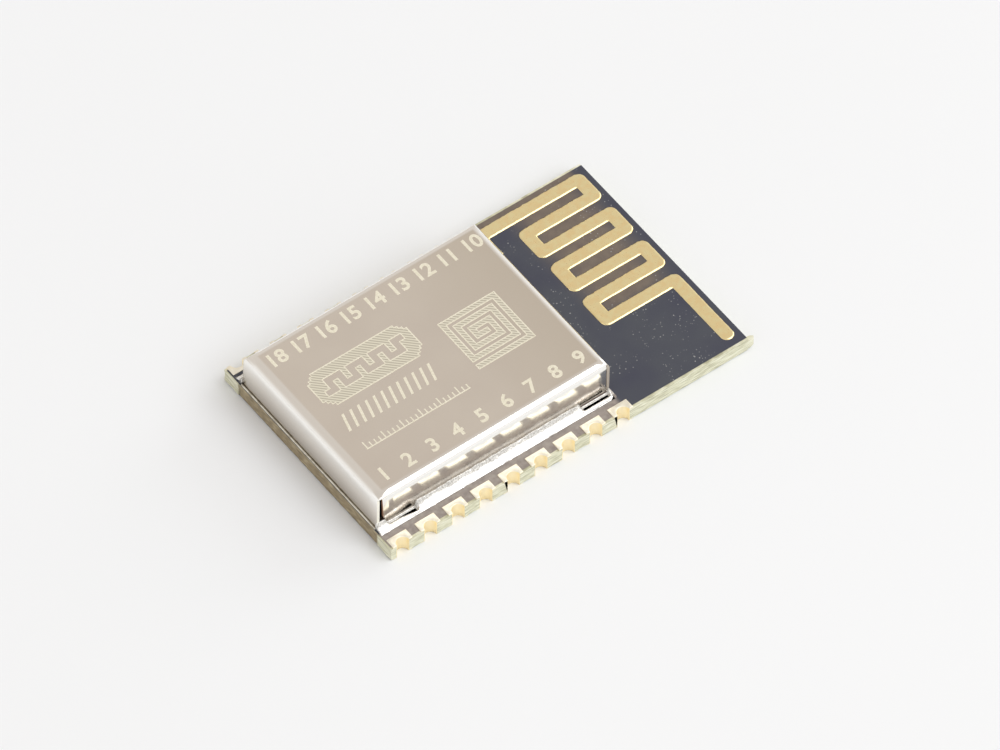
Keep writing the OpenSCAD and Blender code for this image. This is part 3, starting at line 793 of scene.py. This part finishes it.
def number(value, x, y, height):
    """A number as a flat shape, its middle at a place."""
    words = bpy.data.curves.new("number", "FONT")
    words.body = str(value)
    words.size = height / 0.7
    words.offset = 0.025 * MM
    words.align_x, words.align_y = "CENTER", "CENTER"
    words.resolution_u = 4
    made = bpy.data.objects.new("number", words)
    mesh = bpy.data.meshes.new_from_object(made)
    bpy.data.objects.remove(made)
    bm = bmesh.new()
    bm.from_mesh(mesh)
    bpy.data.meshes.remove(mesh)
    bmesh.ops.remove_doubles(bm, verts=bm.verts, dist=0.0005 * MM)
    bmesh.ops.translate(bm, verts=bm.verts, vec=(x, y, 0))
    return bm


def trail(column, row, moves, width):
    """The cells that a square brush covers as it makes its moves."""
    covered = set()
    for across, up in [(0, 0)] + moves:
        for _ in range(max(1, abs(across) + abs(up))):
            column += (across > 0) - (across < 0)
            row += (up > 0) - (up < 0)
            covered |= {(column + i, row + j) for i in range(width) for j in range(width)}
    return covered


spiral_side = 20
runs = [spiral_side - 2] + [r for r in range(spiral_side - 2, 0, -3) for _ in range(2)]
headings = [(1, 0), (0, 1), (-1, 0), (0, -1)]
spiral = trail(0, 0, [(headings[i % 4][0] * r, headings[i % 4][1] * r) for i, r in enumerate(runs)], 2)
wave_columns, wave_rows = 36, 14
wave = trail(3, 4, [(2, 0)] + [(0, 4), (4, 0), (0, -4), (4, 0)] * 3 + [(0, 4), (2, 0)], 2)


def on_wave_band(column, row):
    """Whether a cell of the band is hatched: all but the wave and the four corners."""
    corner = min(column, wave_columns - 1 - column) + min(row, wave_rows - 1 - row) < 3
    return not corner and (column, row) not in wave


numeral_h = 0.72 * MM
front_y, rear_y = can_low.y + 1.0 * MM, can_high.y - 1.0 * MM
marks = []
for n in range(1, 10):
    low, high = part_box(f"pad_{n:02d}")
    x = (low.x + high.x) / 2
    x -= 0.115 * (x - can_middle.x)
    marks += [number(n, x, front_y, numeral_h), number(19 - n, x, rear_y, numeral_h)]
etch("pad_numbers", joined(marks), etched)

rimmed("spiral", cells(spiral_side, spiral_side, 0.155 * MM, (-0.2 * MM, -0.2 * MM, 0),
                       lambda column, row: (column, row) in spiral))
rimmed("wave", cells(wave_columns, wave_rows, 0.15 * MM, (-5.6 * MM, 1.45 * MM, 0), on_wave_band))
etch("slanted_bars", joined([bar((-8.1 + 0.42 * i) * MM, -0.6 * MM, 0.13 * MM, 0.95 * MM, 0.25 * MM)
                             for i in range(12)]), etched)
etch("graduated_line", joined(
    [bar(-5.45 * MM, -2.3 * MM, 5.6 * MM, stroke)]
    + [bar((-8.2 + 0.25 * i) * MM, -2.3 * MM + (0.12 if i % 4 else 0.2) * MM + stroke / 2, stroke,
           (0.24 if i % 4 else 0.4) * MM) for i in range(23)]), etched)

# ---- Parts under the can
# Ordinary surface-mount parts that the can hides: a moulded radio chip, a crystal in a
# ceramic case, and small ceramic passives with tinned ends.


def stone(name, dark, light, grain, rough):
    """A matt ceramic or moulded finish with a fine grain."""
    made, tree, shader = new_finish(name, Roughness=rough)
    tree.links.new(ramp(tree, mottle(tree, grain, 3.0), [(0.3, dark), (0.7, light)]),
                   shader.inputs["Base Color"])
    emboss(tree, shader, mottle(tree, grain, 3.0), 0.004 * MM)
    return made


finishes = {
    "chip_moulding": stone("chip_moulding", (0.012, 0.012, 0.014), (0.022, 0.022, 0.025), 0.05 * MM, 0.6),
    "crystal_ceramic": stone("crystal_ceramic", (0.18, 0.16, 0.14), (0.26, 0.24, 0.21), 0.05 * MM, 0.7),
    "crystal_lid": can_metal,
    "capacitor_ceramic": stone("capacitor_tan", (0.30, 0.19, 0.10), (0.40, 0.27, 0.15), 0.04 * MM, 0.5),
    "resistor_body": stone("resistor_black", (0.012, 0.012, 0.014), (0.02, 0.02, 0.024), 0.04 * MM, 0.3),
    "inductor_body": stone("inductor_blue", (0.06, 0.12, 0.18), (0.09, 0.17, 0.24), 0.04 * MM, 0.5),
    "gold_plate": gold,
    "tinned_copper": tin,
}
for entry in frame["record"]["subparts"]:
    cad_node = nodes[entry["node"]]
    if entry["material_slot"] in finishes and not cad_node.hide_render and entry["node"] != "ground_ring":
        on_object(cad_node, finishes[entry["material_slot"]])
